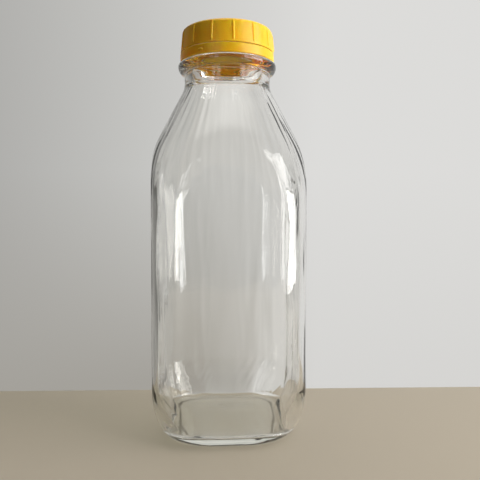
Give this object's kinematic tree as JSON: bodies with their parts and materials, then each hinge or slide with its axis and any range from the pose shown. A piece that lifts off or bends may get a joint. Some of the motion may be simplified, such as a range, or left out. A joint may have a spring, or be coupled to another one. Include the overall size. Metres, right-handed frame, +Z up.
{
  "type": "glass milk bottle",
  "caption": "Square clear-glass milk bottle with rounded corners, sloped shoulder, round neck and a yellow plastic screw cap over a tamper band.",
  "frame": {"origin": "middle of the bottle's base, on the surface it stands on", "axes": "+Z up along the bottle's axis, -Y out of the flat side that faces the viewer"},
  "size_m": [0.0842, 0.0842, 0.2237],
  "materials": {
    "clear_glass": "clear, faintly rippled blown glass",
    "yellow_plastic": "satin moulded polyethylene",
    "band_plastic": "satin moulded polyethylene",
    "liner_foam": "matte foamed liner"
  },
  "bodies": {
    "bottle": {"glass_bottle": "clear_glass"},
    "liner": {"cap_liner": "liner_foam"},
    "cap": {"cap_shell": "yellow_plastic"},
    "band": {"tamper_band": "band_plastic"}
  },
  "joints": [
    {"name": "cap_lift", "type": "slide", "parent": "bottle", "child": "liner", "axis": [0, 0, 1], "range_m": [0, 0.0193]},
    {"name": "cap_spin", "type": "hinge", "parent": "liner", "child": "cap", "pos_m": [0, 0, 0.2112], "axis": [0, 0, 1], "range_deg": [0, 480]},
    {"name": "band_spin", "type": "hinge", "parent": "bottle", "child": "band", "pos_m": [0, 0, 0.2058], "axis": [0, 0, 1], "continuous": true}
  ],
  "couplings": [
    {"joint": "cap_lift", "follows": "cap_spin", "m_per_rad": 0.0022918}
  ]
}
